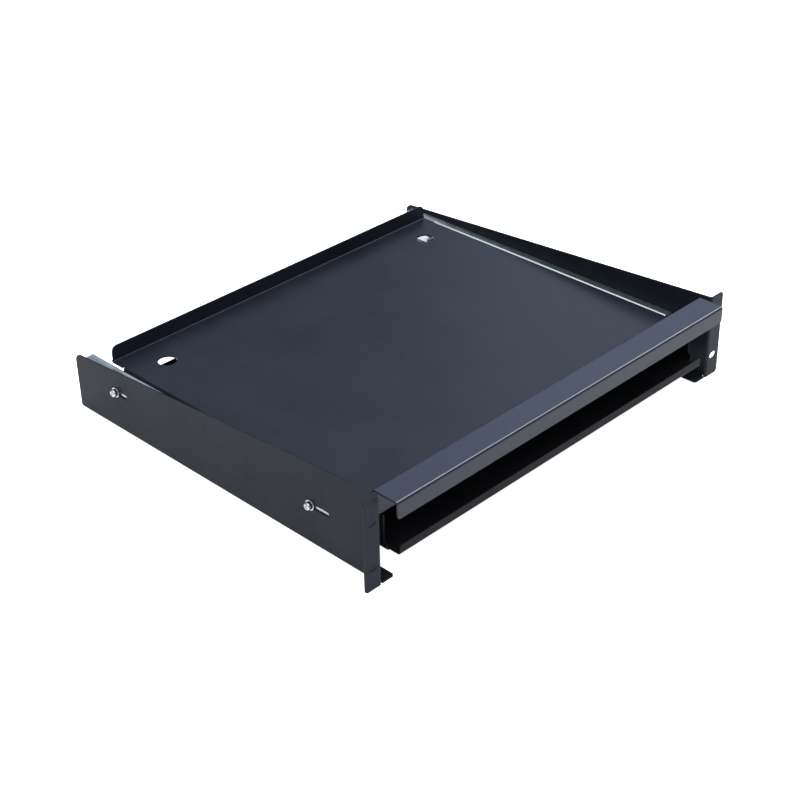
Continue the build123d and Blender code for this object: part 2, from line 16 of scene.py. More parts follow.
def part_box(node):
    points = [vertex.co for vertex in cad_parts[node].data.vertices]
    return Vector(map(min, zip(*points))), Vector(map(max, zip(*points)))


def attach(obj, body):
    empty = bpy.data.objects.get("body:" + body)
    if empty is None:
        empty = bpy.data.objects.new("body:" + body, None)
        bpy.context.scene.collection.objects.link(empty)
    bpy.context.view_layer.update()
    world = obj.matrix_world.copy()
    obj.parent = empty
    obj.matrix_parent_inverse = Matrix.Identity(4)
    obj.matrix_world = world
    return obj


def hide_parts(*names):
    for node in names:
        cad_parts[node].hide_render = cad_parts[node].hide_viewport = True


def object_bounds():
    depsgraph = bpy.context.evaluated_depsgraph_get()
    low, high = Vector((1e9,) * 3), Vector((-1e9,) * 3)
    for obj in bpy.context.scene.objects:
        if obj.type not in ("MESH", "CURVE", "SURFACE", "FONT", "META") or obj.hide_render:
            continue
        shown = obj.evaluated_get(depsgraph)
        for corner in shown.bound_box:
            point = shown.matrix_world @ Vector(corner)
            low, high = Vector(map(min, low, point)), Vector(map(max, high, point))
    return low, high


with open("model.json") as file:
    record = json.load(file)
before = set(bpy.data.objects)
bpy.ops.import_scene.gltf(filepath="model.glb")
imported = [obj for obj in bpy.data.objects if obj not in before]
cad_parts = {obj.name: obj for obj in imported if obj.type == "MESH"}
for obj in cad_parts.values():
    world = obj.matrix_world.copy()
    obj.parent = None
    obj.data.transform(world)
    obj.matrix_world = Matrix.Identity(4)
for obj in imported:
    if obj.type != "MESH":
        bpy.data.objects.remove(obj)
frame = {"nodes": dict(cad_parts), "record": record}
cad_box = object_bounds()

bl_info = {
    "name": "Rack keyboard drawer",
    "version": (1, 0, 0),
    "blender": (4, 5, 0),
    "location": "View3D > Sidebar > Keyboard drawer",
    "description": "Coats, plates and lights a sliding keyboard drawer for a 19-inch rack",
    "category": "Object",
}

MM = 0.001
SIDES = ("left", "right")
SHEETS = ("left_bracket", "right_bracket", "tray", "keyboard_pan")
MEMBERS = ("slide_outer", "slide_middle", "slide_inner")
CAGES = ("outer_cage", "inner_cage")
WELD_DISTANCE = 0.002 * MM
FLAT_ANGLE = math.radians(0.5)
SHARP_ANGLE = math.radians(35)
SLIT_ANGLE = math.radians(35)
FIRST_RECESS_TURN = math.radians(25)
RECESS_TURN_STEP = math.radians(70)
BORE_PLAY = 0.2 * MM            # between a flat washer's bore and the thread
SPRING_BORE_PLAY = 0.1 * MM     # the same for a spring washer
BEND_DEPTH = 4 * MM             # how far below the hood's top its bend reaches
PAINTED_SHEEN_DEPTH = 0.3 * MM         # how far below the hood's top the painted sheen reaches
BEND_POLISH = 0.15              # roughness of the polished bend
DUST_AMOUNT = 0.25
DUST_COLOUR = (0.3, 0.29, 0.28)
GREASE_SHARE = 0.3
GREASE_COLOUR = (0.5, 0.46, 0.36)
POLISHED_EDGE_SHARE = 0.3
POLISHED_EDGE_COLOUR = (0.8, 0.82, 0.84)
ZINC_TINT_SHARE = 0.6
OIL_SHARE = 0.45
CAMERA_PLACE = (-0.97154, -0.77663, 0.7986)
CAMERA_TURN = (58.561, 0.946, -45.666)
CAMERA_SHIFT = (-0.00568, -0.01022)
SENSOR_WIDTH = 36
HORIZON_TOP = 0.1               # height of a direction where the room starts to get lighter
SKY_START = 0.4                 # and where it is as light as the sky
SOFTBOXES = {                   # size, place and target of each lamp
    "key": ((2.4, 2.4), (-1.2, -1.0, 2.3), (0, 0, 0)),
    "top": ((3.6, 3.6), (0.2, 0.9, 2.7), (0.2, 0.9, 0)),
    "right": ((1.0, 1.6), (1.7, -0.2, 1.9), (0, 0, 0)),
    "back": ((2.0, 1.4), (2.75, 1.4, 1.85), (0, 0, 0)),
}
record = frame["record"]
slot_colour = {m["slot"]: m["base_color"] for m in record["materials"]}
node_body = {n: b for b, names in record["behaviour"]["bodies"].items() for n in names}


def colour_prop(name, description, default):
    """A colour that a user can change."""
    return FloatVectorProperty(name=name, description=description, subtype="COLOR", size=3,
                               min=0.0, max=1.0, default=default)


def length_prop(name, description, default):
    """A length that a user can change, in metres."""
    return FloatProperty(name=name, description=description, subtype="DISTANCE", unit="LENGTH",
                         min=0.0, default=default, precision=5)


def share_prop(name, description, default):
    """A share between 0 and 1 that a user can change."""
    return FloatProperty(name=name, description=description, subtype="FACTOR", min=0.0, max=1.0,
                         default=default)


def power_prop(name, description, default):
    """A lamp's power in watts."""
    return FloatProperty(name=name, description=description, subtype="POWER", unit="POWER",
                         min=0.0, default=default)


class DRAWER_CoatLook(bpy.types.PropertyGroup):
    """Powder coat of the brackets, the tray and the pan."""
    colour: colour_prop("Colour", "Colour of the powder coat", (0.0115, 0.0134, 0.0208))
    bracket_colour: colour_prop("Bracket colour", "The same on the brackets",
                                (0.0165, 0.0195, 0.024))
    pan_colour: colour_prop("Pan colour", "The same on the pan", (0.0135, 0.0135, 0.0145))
    # Edge colour: the lighter colour along convex edges is partly thin coat and partly a painted
    # highlight.
    edge_colour: colour_prop("Edge colour", "Thin coat along cut edges", (0.06, 0.065, 0.075))
    # Painted sheen: a lighter, bluer coat colour on the hood's top that stands in for the light
    # falling on it.
    painted_sheen_colour: colour_prop("Painted sheen colour", "Coat on top of the hood, rubbed by hands",
                                (0.0315, 0.037, 0.059))
    rubbed_shine: share_prop("Rubbed shine", "Polish of the hood's front bend", 1.0)
    # The edge shares set how much thin coat and painted highlight show along the edges.
    edge_coat_and_highlight_share: share_prop("Edge share", "How clear the thin coat along the edges is", 0.6)
    pan_edge_coat_and_highlight_share: share_prop("Pan edge share", "The same for the pan, which few hands touch", 0.12)
    roughness: share_prop("Roughness", "How satin the coat is", 0.32)
    reflection: share_prop("Reflection", "Strength of the coat's reflection", 0.265)
    bracket_reflection: share_prop("Bracket reflection", "The same on the brackets", 0.06)
    pan_reflection: share_prop("Pan reflection", "The same on the pan", 0.1)
    ior: FloatProperty(name="IOR", description="Refraction of the coat", default=1.5, min=1.0)
    pan_ior: FloatProperty(name="Pan IOR", description="The same on the pan", default=1.3, min=1.0)
    reflection_tint: colour_prop("Reflection tint", "Tint of the coat's reflection",
                                 (0.8, 0.88, 1.0))
    grain: length_prop("Grain", "Width of one bump of the coat's texture", 0.7 * MM)
    grain_depth: length_prop("Grain depth", "Height of the coat's texture", 0.012 * MM)
    edge_radius: length_prop("Edge radius", "Round that the coat gives to cut edges", 0.25 * MM)


class DRAWER_SlideLook(bpy.types.PropertyGroup):
    """Zinc plate of the slide members and rolled strip of the ball cages."""
    zinc: colour_prop("Zinc", "Colour of the blue-white plate",
                      [share * part for share, part in
                       zip((0.77, 0.82, 0.8), slot_colour["zinc_slide"])])
    cage: colour_prop("Cage strip", "Colour of the oiled strip", slot_colour["cage_steel"])
    oil: colour_prop("Oil", "Tint of the film of oil", (0.42, 0.37, 0.27))
    roughness: share_prop("Roughness", "How dull the plate is", 0.26)
    metal: share_prop("Metal", "Share of the plate's light that isn't scattered", 0.93)
    streak: length_prop("Streak", "Width of one rolling streak", 0.5 * MM)
    streak_depth: length_prop("Streak depth", "Depth of the rolling streaks", 0.004 * MM)
    edge_radius: length_prop("Edge radius", "Round of the sheared edges", 0.25 * MM)


class DRAWER_FastenerLook(bpy.types.PropertyGroup):
    """Sizes and colour of the screws and washers."""
    colour: colour_prop("Plate", "Colour of the bright zinc plate",
                        [0.8 * part for part in slot_colour["zinc_fastener"]])
    edge_colour: colour_prop("Plate edge", "The same along edges", (0.9, 0.9, 0.91))
    # Painted shade: the spring washers get a near-black colour that stands in for the shade between
    # each screw head and its flat washer, with slightly lighter edges.
    spring_shade_colour: colour_prop("Spring washer shade", "Blackened steel of the spring washers",
                               (0.03, 0.032, 0.038))
    spring_shade_edge: colour_prop("Spring edge", "The same along edges", (0.09, 0.095, 0.105))
    roughness: share_prop("Roughness", "How dull the plate is", 0.24)
    head_share: share_prop("Head share", "Radius of a head against the packed one's", 0.92)
    washer_share: share_prop("Washer share", "The same for the flat washers", 0.9)
    head_height: length_prop("Head height", "Height of a pan head", 3.1 * MM)
    recess_span: length_prop("Recess span", "Cross recess, tip to tip", 3.6 * MM)
    recess_width: length_prop("Recess width", "Width of one wing of the recess", 0.8 * MM)
    recess_depth: length_prop("Recess depth", "Depth of the recess", 1.3 * MM)
    shank_radius: length_prop("Shank radius", "Outside radius of the thread", 2.0 * MM)
    pitch: length_prop("Thread pitch", "From one thread to the next", 0.7 * MM)
    thread_depth: length_prop("Thread depth", "Height of the thread", 0.3 * MM)
    washer_edge: length_prop("Washer edge", "Round of the washer's stamped edge", 0.2 * MM)
    slit: length_prop("Slit", "Width of a spring washer's slit", 0.7 * MM)
    slit_slant: length_prop("Slit slant", "How far the slit runs round across the washer", 0.5 * MM)
    segments: IntProperty(name="Segments", description="Facets round a screw or washer",
                          default=48, min=12, max=128)


class DRAWER_BallLook(bpy.types.PropertyGroup):
    """Polished bearing balls."""
    colour: colour_prop("Steel", "Colour of the bearing steel", slot_colour["ball_steel"])
    subdivisions: IntProperty(name="Subdivisions", description="How round each ball is",
                              default=3, min=1, max=5)


class DRAWER_PlasticLook(bpy.types.PropertyGroup):
    """Moulded stops at the rear of the slides."""
    colour: colour_prop("Plastic", "Colour of the moulded plastic", slot_colour["black_plastic"])
    edge_radius: length_prop("Edge radius", "Round of the moulded edges", 0.35 * MM)


class DRAWER_StageLook(bpy.types.PropertyGroup):
    """Floor, lamps and camera."""
    floor_size: length_prop("Floor", "Side of the square floor", 9.0)
    floor_colour: colour_prop("Floor colour", "Pale paper", (0.93, 0.93, 0.93))
    glow: share_prop("Glow", "Light that comes up through the paper", 0.62)
    seen_glow: share_prop("Seen glow", "The same as the camera sees it", 0.95)
    floor_drop: length_prop("Floor drop", "Gap between the floor and the flanges", 0.15 * MM)
    key_power: power_prop("Key lamp", "Power of the softbox beside the camera", 36.0)
    top_power: power_prop("Top lamp", "Power of the overhead softbox", 57.0)
    right_power: power_prop("Right lamp", "Power of the softbox at the right", 29.0)
    back_power: power_prop("Back lamp", "Power of the dim softbox at the back", 8.5)
    back_colour: colour_prop("Back lamp colour", "Cool light from the back", (0.8, 0.89, 1.0))
    sky: colour_prop("Sky", "Colour of the room's upper half", (0.3, 0.34, 0.44))
    horizon: colour_prop("Horizon", "Colour of the room near the floor", (0.03, 0.035, 0.045))
    backdrop: colour_prop("Backdrop", "Colour seen past the floor", (1.0, 1.0, 1.0))
    sky_strength: FloatProperty(name="Sky strength", description="Brightness of the room",
                                default=1.0, min=0.0)
    lens: FloatProperty(name="Lens", description="Focal length on a 36 mm sensor",
                        subtype="DISTANCE_CAMERA", default=75.1455, min=1.0)


class DRAWER_Look(bpy.types.PropertyGroup):
    """All that a user would change."""
    coat: PointerProperty(type=DRAWER_CoatLook)
    slides: PointerProperty(type=DRAWER_SlideLook)
    fasteners: PointerProperty(type=DRAWER_FastenerLook)
    balls: PointerProperty(type=DRAWER_BallLook)
    plastic: PointerProperty(type=DRAWER_PlasticLook)
    stage: PointerProperty(type=DRAWER_StageLook)


def link_or_set(tree, socket, value):
    """Link a socket, or set it to a number or a colour."""
    if isinstance(value, bpy.types.NodeSocket):
        tree.links.new(value, socket)
    elif socket.type == "RGBA":
        socket.default_value = (*value, 1.0)
    else:
        socket.default_value = value


def add_node(tree, kind, values=None, **settings):
    """A shader node with its settings and the links or values of its sockets."""
    made = tree.nodes.new(kind)
    for name, value in settings.items():
        setattr(made, name, value)
    for socket, value in (values or {}).items():
        link_or_set(tree, made.inputs[socket], value)
    return made


def calculate(tree, operation, first, second):
    """A sum, product or the like of two sockets or numbers."""
    made = add_node(tree, "ShaderNodeMath", {0: first, 1: second}, operation=operation)
    return made.outputs[0]


def stretch(tree, value, low, high, new_low=0.0, new_high=1.0):
    """A socket's range stretched onto another and held inside it."""
    made = add_node(tree, "ShaderNodeMapRange",
                    {"Value": value, "From Min": low, "From Max": high,
                     "To Min": new_low, "To Max": new_high})
    return made.outputs["Result"]


def mix_colours(tree, share, first, second):
    """Two colours mixed by a share. The colour sockets have these places in a Mix node."""
    made = add_node(tree, "ShaderNodeMix", data_type="RGBA")
    for place, value in ((0, share), (6, first), (7, second)):
        link_or_set(tree, made.inputs[place], value)
    return made.outputs[2]


def noise(tree, vector, scale, detail=2.0):
    """Noise of about 0 to 1 along a vector."""
    made = add_node(tree, "ShaderNodeTexNoise",
                    {"Vector": vector, "Scale": scale, "Detail": detail})
    return made.outputs["Fac"]


def piece_vector(tree):
    """Place on the piece, which rides with it, in metres."""
    return add_node(tree, "ShaderNodeTexCoord").outputs["Object"]


def new_group(name, inputs, outputs):
    """An empty shader group. Returns the tree, its input sockets by name and its output node."""
    tree = bpy.data.node_groups.new(name, "ShaderNodeTree")
    for label, start in inputs:
        socket = tree.interface.new_socket(label, in_out="INPUT", socket_type="NodeSocketFloat")
        socket.default_value = start
    for label in outputs:
        tree.interface.new_socket(label, in_out="OUTPUT", socket_type="NodeSocketFloat")
    return tree, tree.nodes.new("NodeGroupInput").outputs, tree.nodes.new("NodeGroupOutput")


def place_group(tree, group, values):
    """A shader group placed in a material with its own values."""
    made = tree.nodes.new("ShaderNodeGroup")
    made.node_tree = group
    for label, value in values.items():
        link_or_set(tree, made.inputs[label], value)
    return made.outputs


def build_grain_group():
    """Even bumps of a coat or a moulded skin, with slow clouds in its gloss."""
    tree, given, out = new_group("Surface grain", (("Width", 0.7 * MM), ("Cloud width", 0.06)),
                                 ("Height", "Spots", "Clouds"))
    place = piece_vector(tree)
    scale = calculate(tree, "DIVIDE", 1.0, given["Width"])
    coarse = noise(tree, place, scale)
    fine = noise(tree, place, calculate(tree, "MULTIPLY", scale, 2.7), 1.0)
    height = calculate(tree, "ADD", calculate(tree, "MULTIPLY", coarse, 0.7),
                       calculate(tree, "MULTIPLY", fine, 0.3))
    tree.links.new(height, out.inputs["Height"])
    tree.links.new(stretch(tree, fine, 0.35, 0.65), out.inputs["Spots"])
    clouds = noise(tree, place, calculate(tree, "DIVIDE", 1.0, given["Cloud width"]), 3.0)
    tree.links.new(stretch(tree, clouds, 0.3, 0.7), out.inputs["Clouds"])
    return tree


def build_edge_group():
    """A mask along convex edges, broken up so that it isn't an even line."""
    tree, given, out = new_group("Edge wear and highlight", (("Width", 0.5 * MM), ("Break-up", 0.5)),
                                 ("Mask",))
    rounded = add_node(tree, "ShaderNodeBevel", {"Radius": given["Width"]}, samples=6)
    flat = add_node(tree, "ShaderNodeNewGeometry")
    turn = add_node(tree, "ShaderNodeVectorMath",
                    {0: rounded.outputs["Normal"], 1: flat.outputs["Normal"]},
                    operation="DOT_PRODUCT")
    edge = stretch(tree, turn.outputs["Value"], 0.995, 0.8)
    patches = stretch(tree, noise(tree, piece_vector(tree), 90.0, 4.0), 0.35, 0.6)
    kept = calculate(tree, "SUBTRACT", 1.0,
                     calculate(tree, "MULTIPLY", given["Break-up"],
                               calculate(tree, "SUBTRACT", 1.0, patches)))
    tree.links.new(calculate(tree, "MULTIPLY", edge, kept), out.inputs["Mask"])
    return tree


def build_streak_group():
    """Fine streaks along the piece's depth, as rolling leaves in strip."""
    tree, given, out = new_group("Rolling streaks", (("Width", 0.5 * MM), ("Length", 60 * MM)),
                                 ("Height", "Streaks"))
    across = calculate(tree, "DIVIDE", 1.0, given["Width"])
    along = calculate(tree, "DIVIDE", 1.0, given["Length"])
    scale = add_node(tree, "ShaderNodeCombineXYZ", {"X": across, "Y": along, "Z": across})
    place = add_node(tree, "ShaderNodeVectorMath",
                     {0: piece_vector(tree), 1: scale.outputs["Vector"]}, operation="MULTIPLY")
    lines = noise(tree, place.outputs["Vector"], 1.0, 3.0)
    tree.links.new(lines, out.inputs["Height"])
    tree.links.new(stretch(tree, lines, 0.35, 0.65), out.inputs["Streaks"])
    return tree


def build_dust_group():
    """Scattered specks of dust on faces that look up."""
    tree, given, out = new_group("Dust", (("Speck width", 0.6 * MM), ("Amount", 0.3)), ("Mask",))
    scale = calculate(tree, "DIVIDE", 1.0, given["Speck width"])
    cells = add_node(tree, "ShaderNodeTexVoronoi", {"Vector": piece_vector(tree), "Scale": scale})
    speck = stretch(tree, cells.outputs["Distance"], 0.16, 0.08)
    drift = stretch(tree, noise(tree, piece_vector(tree), 25.0), 0.52, 0.7)
    facing = add_node(tree, "ShaderNodeSeparateXYZ",
                      {"Vector": add_node(tree, "ShaderNodeNewGeometry").outputs["Normal"]})
    upward = stretch(tree, facing.outputs["Z"], 0.6, 0.95)
    mask = calculate(tree, "MULTIPLY", calculate(tree, "MULTIPLY", speck, drift), upward)
    tree.links.new(calculate(tree, "MULTIPLY", mask, given["Amount"]), out.inputs["Mask"])
    return tree


GROUP_BUILDERS = {"Surface grain": build_grain_group, "Edge wear and highlight": build_edge_group,
                  "Rolling streaks": build_streak_group, "Dust": build_dust_group}


def group(name):
    """A shared group, built on its first use."""
    return bpy.data.node_groups.get(name) or GROUP_BUILDERS[name]()


def new_material(name):
    """A material with an empty tree but for its Principled shader and output."""
    made = bpy.data.materials.new(name)
    made.use_nodes = True
    return made, made.node_tree, made.node_tree.nodes["Principled BSDF"]


def bump(tree, height, depth):
    """A normal from a height of 0 to 1 and its real depth."""
    made = add_node(tree, "ShaderNodeBump", {"Strength": 1.0, "Distance": depth, "Height": height})
    return made.outputs["Normal"]


def height_mask(tree, low, high):
    """A mask that rises between two heights on the piece."""
    place = add_node(tree, "ShaderNodeSeparateXYZ", {"Vector": piece_vector(tree)})
    return stretch(tree, place.outputs["Z"], low, high)


def coat_material(name, look, colour, edge_coat_and_highlight_share, reflection, ior, sheen_top=None):
    """Satin powder coat: orange peel, cloudy gloss, edges lightened by thin coat and a painted
    highlight, a little dust, and, given the hood's top, a painted sheen there.
    """
    made, tree, shader = new_material(name)
    grain = place_group(tree, group("Surface grain"), {"Width": look.grain})
    edge = place_group(tree, group("Edge wear and highlight"), {"Width": 2 * look.edge_radius})
    dust = place_group(tree, group("Dust"), {"Amount": DUST_AMOUNT})
    darker = [0.8 * part for part in colour]
    lighter = [1.2 * part for part in colour]
    body = mix_colours(tree, grain["Clouds"], darker, lighter)
    if sheen_top is not None:
        # Painted sheen: the hood's top face is mixed toward a lighter, bluer colour that stands in
        # for light; the bend gets a polished coat layer.
        painted_sheen_mask = height_mask(tree, sheen_top - PAINTED_SHEEN_DEPTH, sheen_top)
        body = mix_colours(tree, painted_sheen_mask, body, tuple(look.painted_sheen_colour))
        shine = calculate(tree, "MULTIPLY", bend_mask(tree, sheen_top), look.rubbed_shine)
        tree.links.new(shine, shader.inputs["Coat Weight"])
        shader.inputs["Coat Roughness"].default_value = BEND_POLISH
    # Lighter colour along convex edges: partly thin coat, partly painted highlight.
    edged = mix_colours(tree, calculate(tree, "MULTIPLY", edge["Mask"], edge_coat_and_highlight_share), body,
                        tuple(look.edge_colour))
    dusted = mix_colours(tree, dust["Mask"], edged, DUST_COLOUR)
    tree.links.new(dusted, shader.inputs["Base Color"])
    spotted = stretch(tree, grain["Spots"], 0.0, 1.0, look.roughness - 0.04,
                      look.roughness + 0.04)
    clouded = calculate(tree, "ADD", spotted, stretch(tree, grain["Clouds"], 0.0, 1.0, -0.03, 0.03))
    tree.links.new(clouded, shader.inputs["Roughness"])
    tree.links.new(bump(tree, grain["Height"], look.grain_depth), shader.inputs["Normal"])
    shader.inputs["IOR"].default_value = ior
    shader.inputs["Specular IOR Level"].default_value = reflection
    shader.inputs["Specular Tint"].default_value = (*look.reflection_tint, 1.0)
    return made


def bend_mask(tree, top):
    """A mask over the bend at the front of a level face at a height on the piece."""
    normal = add_node(tree, "ShaderNodeSeparateXYZ",
                      {"Vector": add_node(tree, "ShaderNodeNewGeometry").outputs["Normal"]})
    leaning = stretch(tree, normal.outputs["Y"], -0.1, -0.25)
    upright = stretch(tree, normal.outputs["Y"], -0.85, -0.7)
    bend = calculate(tree, "MULTIPLY", leaning, upright)
    reach = height_mask(tree, top - BEND_DEPTH, top - 0.875 * BEND_DEPTH)
    return calculate(tree, "MULTIPLY", bend, reach)


def plate_material(name, colour, tint, tint_share, roughness, look):
    """Bright metal with rolling streaks, a cloudy tint and polished edges."""
    made, tree, shader = new_material(name)
    streaks = place_group(tree, group("Rolling streaks"), {"Width": look.streak})
    clouds = place_group(tree, group("Surface grain"), {"Cloud width": 0.02})
    edge = place_group(tree, group("Edge wear and highlight"), {"Width": 2 * look.edge_radius})
    darker = [0.82 * part for part in colour]
    streaked = mix_colours(tree, streaks["Streaks"], tuple(colour), darker)
    tinted = mix_colours(tree, calculate(tree, "MULTIPLY", clouds["Clouds"], tint_share),
                         streaked, tuple(tint))
    worn = mix_colours(tree, calculate(tree, "MULTIPLY", edge["Mask"], POLISHED_EDGE_SHARE),
                       tinted, POLISHED_EDGE_COLOUR)
    tree.links.new(worn, shader.inputs["Base Color"])
    lined = stretch(tree, streaks["Streaks"], 0.0, 1.0, roughness - 0.06, roughness + 0.08)
    dulled = calculate(tree, "ADD", lined, stretch(tree, clouds["Clouds"], 0.0, 1.0, -0.03, 0.06))
    tree.links.new(dulled, shader.inputs["Roughness"])
    tree.links.new(bump(tree, streaks["Height"], look.streak_depth), shader.inputs["Normal"])
    shader.inputs["Metallic"].default_value = look.metal
    return made


def fastener_material(name, colour, edge_colour, look):
    """Barrel-finished metal: small dents, cloudy gloss and brighter edges."""
    made, tree, shader = new_material(name)
    grain = place_group(tree, group("Surface grain"), {"Width": 0.35 * MM, "Cloud width": 2 * MM})
    edge = place_group(tree, group("Edge wear and highlight"), {"Width": 0.25 * MM, "Break-up": 0.3})
    darker = [0.8 * part for part in colour]
    body = mix_colours(tree, grain["Clouds"], darker, tuple(colour))
    worn = mix_colours(tree, edge["Mask"], body, tuple(edge_colour))
    tree.links.new(worn, shader.inputs["Base Color"])
    rough = stretch(tree, grain["Clouds"], 0.0, 1.0, look.roughness - 0.05, look.roughness + 0.1)
    tree.links.new(rough, shader.inputs["Roughness"])
    tree.links.new(bump(tree, grain["Height"], 0.006 * MM), shader.inputs["Normal"])
    shader.inputs["Metallic"].default_value = 1.0
    return made


def ball_material(look):
    """Polished bearing steel with a broken film of grease."""
    made, tree, shader = new_material("Bearing steel")
    film = place_group(tree, group("Surface grain"), {"Width": 0.8 * MM, "Cloud width": 2 * MM})
    greased = mix_colours(tree, calculate(tree, "MULTIPLY", film["Clouds"], GREASE_SHARE),
                          tuple(look.colour), GREASE_COLOUR)
    tree.links.new(greased, shader.inputs["Base Color"])
    tree.links.new(stretch(tree, film["Clouds"], 0.0, 1.0, 0.05, 0.2), shader.inputs["Roughness"])
    shader.inputs["Metallic"].default_value = 1.0
    return made


def plastic_material(look):
    """Moulded black plastic with a spark-eroded skin."""
    made, tree, shader = new_material("Moulded plastic")
    grain = place_group(tree, group("Surface grain"), {"Width": 0.3 * MM, "Cloud width": 8 * MM})
    lighter = [1.6 * part for part in look.colour]
    tree.links.new(mix_colours(tree, grain["Spots"], tuple(look.colour), lighter),
                   shader.inputs["Base Color"])
    tree.links.new(stretch(tree, grain["Clouds"], 0.0, 1.0, 0.5, 0.62), shader.inputs["Roughness"])
    tree.links.new(bump(tree, grain["Height"], 0.02 * MM), shader.inputs["Normal"])
    return made


def dress(node, material):
    """Give a node of the frame a finish."""
    mesh = frame["nodes"][node].data
    mesh.materials.clear()
    mesh.materials.append(material)


def round_edges(node, radius):
    """Modifiers that round a node's sharp edges: weld, merge flat facets, bevel, even normals."""
    piece = frame["nodes"][node]
    weld = piece.modifiers.new("Weld", "WELD")
    weld.merge_threshold = WELD_DISTANCE
    flatten = piece.modifiers.new("Flat faces", "DECIMATE")
    flatten.decimate_type = "DISSOLVE"
    flatten.angle_limit = FLAT_ANGLE
    bevel = piece.modifiers.new("Rounded edges", "BEVEL")
    bevel.width = radius
    bevel.segments = 2
    bevel.limit_method = "ANGLE"
    bevel.angle_limit = SHARP_ANGLE
    bevel.use_clamp_overlap = True
    normals = piece.modifiers.new("Even normals", "WEIGHTED_NORMAL")
    normals.keep_sharp = True


def solids_of(node):
    """Box of each separate solid in a node, from front to back."""
    mesh = bmesh.new()
    mesh.from_mesh(frame["nodes"][node].data)
    bmesh.ops.remove_doubles(mesh, verts=mesh.verts, dist=WELD_DISTANCE)
    left = set(mesh.verts)
    boxes = []
    while left:
        edge_of_search = [left.pop()]
        solid = []
        while edge_of_search:
            vert = edge_of_search.pop()
            solid.append(vert.co.copy())
            for edge in vert.link_edges:
                other = edge.other_vert(vert)
                if other in left:
                    left.discard(other)
                    edge_of_search.append(other)
        low = Vector(min(co[i] for co in solid) for i in range(3))
        high = Vector(max(co[i] for co in solid) for i in range(3))
        boxes.append((low, high))
    mesh.free()
    return sorted(boxes, key=lambda box: box[0].y)


def lathe(mesh, profile, segments, closed=False):
    """Turn a profile of (x, radius) points round the X axis; a radius of 0 closes the end."""
    rings = []
    for x, radius in profile:
        if radius == 0:
            rings.append([mesh.verts.new((x, 0, 0))])
            continue
        rings.append([mesh.verts.new((x, radius * math.cos(2 * math.pi * i / segments),
                                      radius * math.sin(2 * math.pi * i / segments)))
                      for i in range(segments)])
    pairs = list(zip(rings, rings[1:]))
    if closed:
        pairs.append((rings[-1], rings[0]))
    for first, second in pairs:
        for i in range(segments):
            corners = [first[i % len(first)], first[(i + 1) % len(first)],
                       second[(i + 1) % len(second)], second[i % len(second)]]
            mesh.faces.new(list(dict.fromkeys(corners)))


def threaded_shank(mesh, look, length):
    """A shank along +X whose radius follows a helical thread."""
    steps = max(8, round(6 * length / look.pitch))
    rings = []
    for step in range(steps + 1):
        x = length * step / steps
        ring = []
        for i in range(look.segments):
            turn = i / look.segments
            along = (x / look.pitch + turn) % 1.0
            height = 1 - abs(2 * along - 1)
            taper = min(1.0, (length - x) / look.pitch + 0.35)
            radius = look.shank_radius - look.thread_depth * (1 - height * taper)
            ring.append(mesh.verts.new((x, radius * math.cos(2 * math.pi * turn),
                                        radius * math.sin(2 * math.pi * turn))))
        rings.append(ring)
    for first, second in zip(rings, rings[1:]):
        for i in range(look.segments):
            after = (i + 1) % look.segments
            mesh.faces.new((first[i], first[after], second[after], second[i]))
    mesh.faces.new(rings[0])
    mesh.faces.new(rings[-1])


def pan_head_profile(look, radius):
    """Side of a pan head, from its underside at X = 0 to its crown."""
    points = [(0, 0), (0, radius - 0.1 * look.head_height)]
    for step in range(13):
        angle = math.radians(90 * step / 12)
        reach = math.cos(angle) ** 0.4 if step < 12 else 0
        points.append((-look.head_height * (0.12 + 0.88 * math.sin(angle) ** 0.9), radius * reach))
    return points


def cross_cutter(look, top):
    """A tapered cross that cuts the recess, from above the crown inwards."""
    mesh = bmesh.new()
    rings = []
    for x, share in ((top - 0.2 * MM, 1.06), (top + look.recess_depth, 0.4)):
        tip = share * look.recess_span / 2
        half = math.sqrt(share) * look.recess_width / 2
        outline = ((tip, half), (half, half), (half, tip), (-half, tip), (-half, half), (-tip, half),
                   (-tip, -half), (-half, -half), (-half, -tip), (half, -tip), (half, -half),
                   (tip, -half))
        rings.append([mesh.verts.new((x, y, z)) for y, z in outline])
    for i in range(len(rings[0])):
        after = (i + 1) % len(rings[0])
        mesh.faces.new((rings[0][i], rings[0][after], rings[1][after], rings[1][i]))
    mesh.faces.new(rings[0])
    mesh.faces.new(rings[1])
    return mesh


def object_from(mesh, name):
    """An object from an edited mesh, in the scene, with its faces turned outwards."""
    bmesh.ops.recalc_face_normals(mesh, faces=mesh.faces)
    data = bpy.data.meshes.new(name)
    mesh.to_mesh(data)
    mesh.free()
    made = bpy.data.objects.new(name, data)
    bpy.context.scene.collection.objects.link(made)
    return made


def pan_head(look, radius):
    """Mesh of one pan head with its cross recess cut out."""
    body = bmesh.new()
    lathe(body, pan_head_profile(look, radius), look.segments)
    head = object_from(body, "head_blank")
    cutter = object_from(cross_cutter(look, -look.head_height), "recess_cutter")
    cut = head.modifiers.new("Recess", "BOOLEAN")
    cut.object = cutter
    cut.operation = "DIFFERENCE"
    cut.solver = "EXACT"
    depsgraph = bpy.context.evaluated_depsgraph_get()
    finished = bpy.data.meshes.new_from_object(head.evaluated_get(depsgraph))
    for spare in (head, cutter):
        bpy.data.objects.remove(spare)
    if len(finished.vertices) < look.segments:
        raise RuntimeError("the cross recess left no head")
    return finished


def smooth(piece):
    """Smooth shading up to the sharp edges."""
    piece.data.shade_smooth()
    piece.data.set_sharp_from_angle(angle=SHARP_ANGLE)


def finish_copy(piece, node, material):
    """Let a finer piece stand for its node: its body and its finish."""
    piece.data.materials.clear()
    piece.data.materials.append(material)
    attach(piece, node_body[node])
    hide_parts(node)
    smooth(piece)


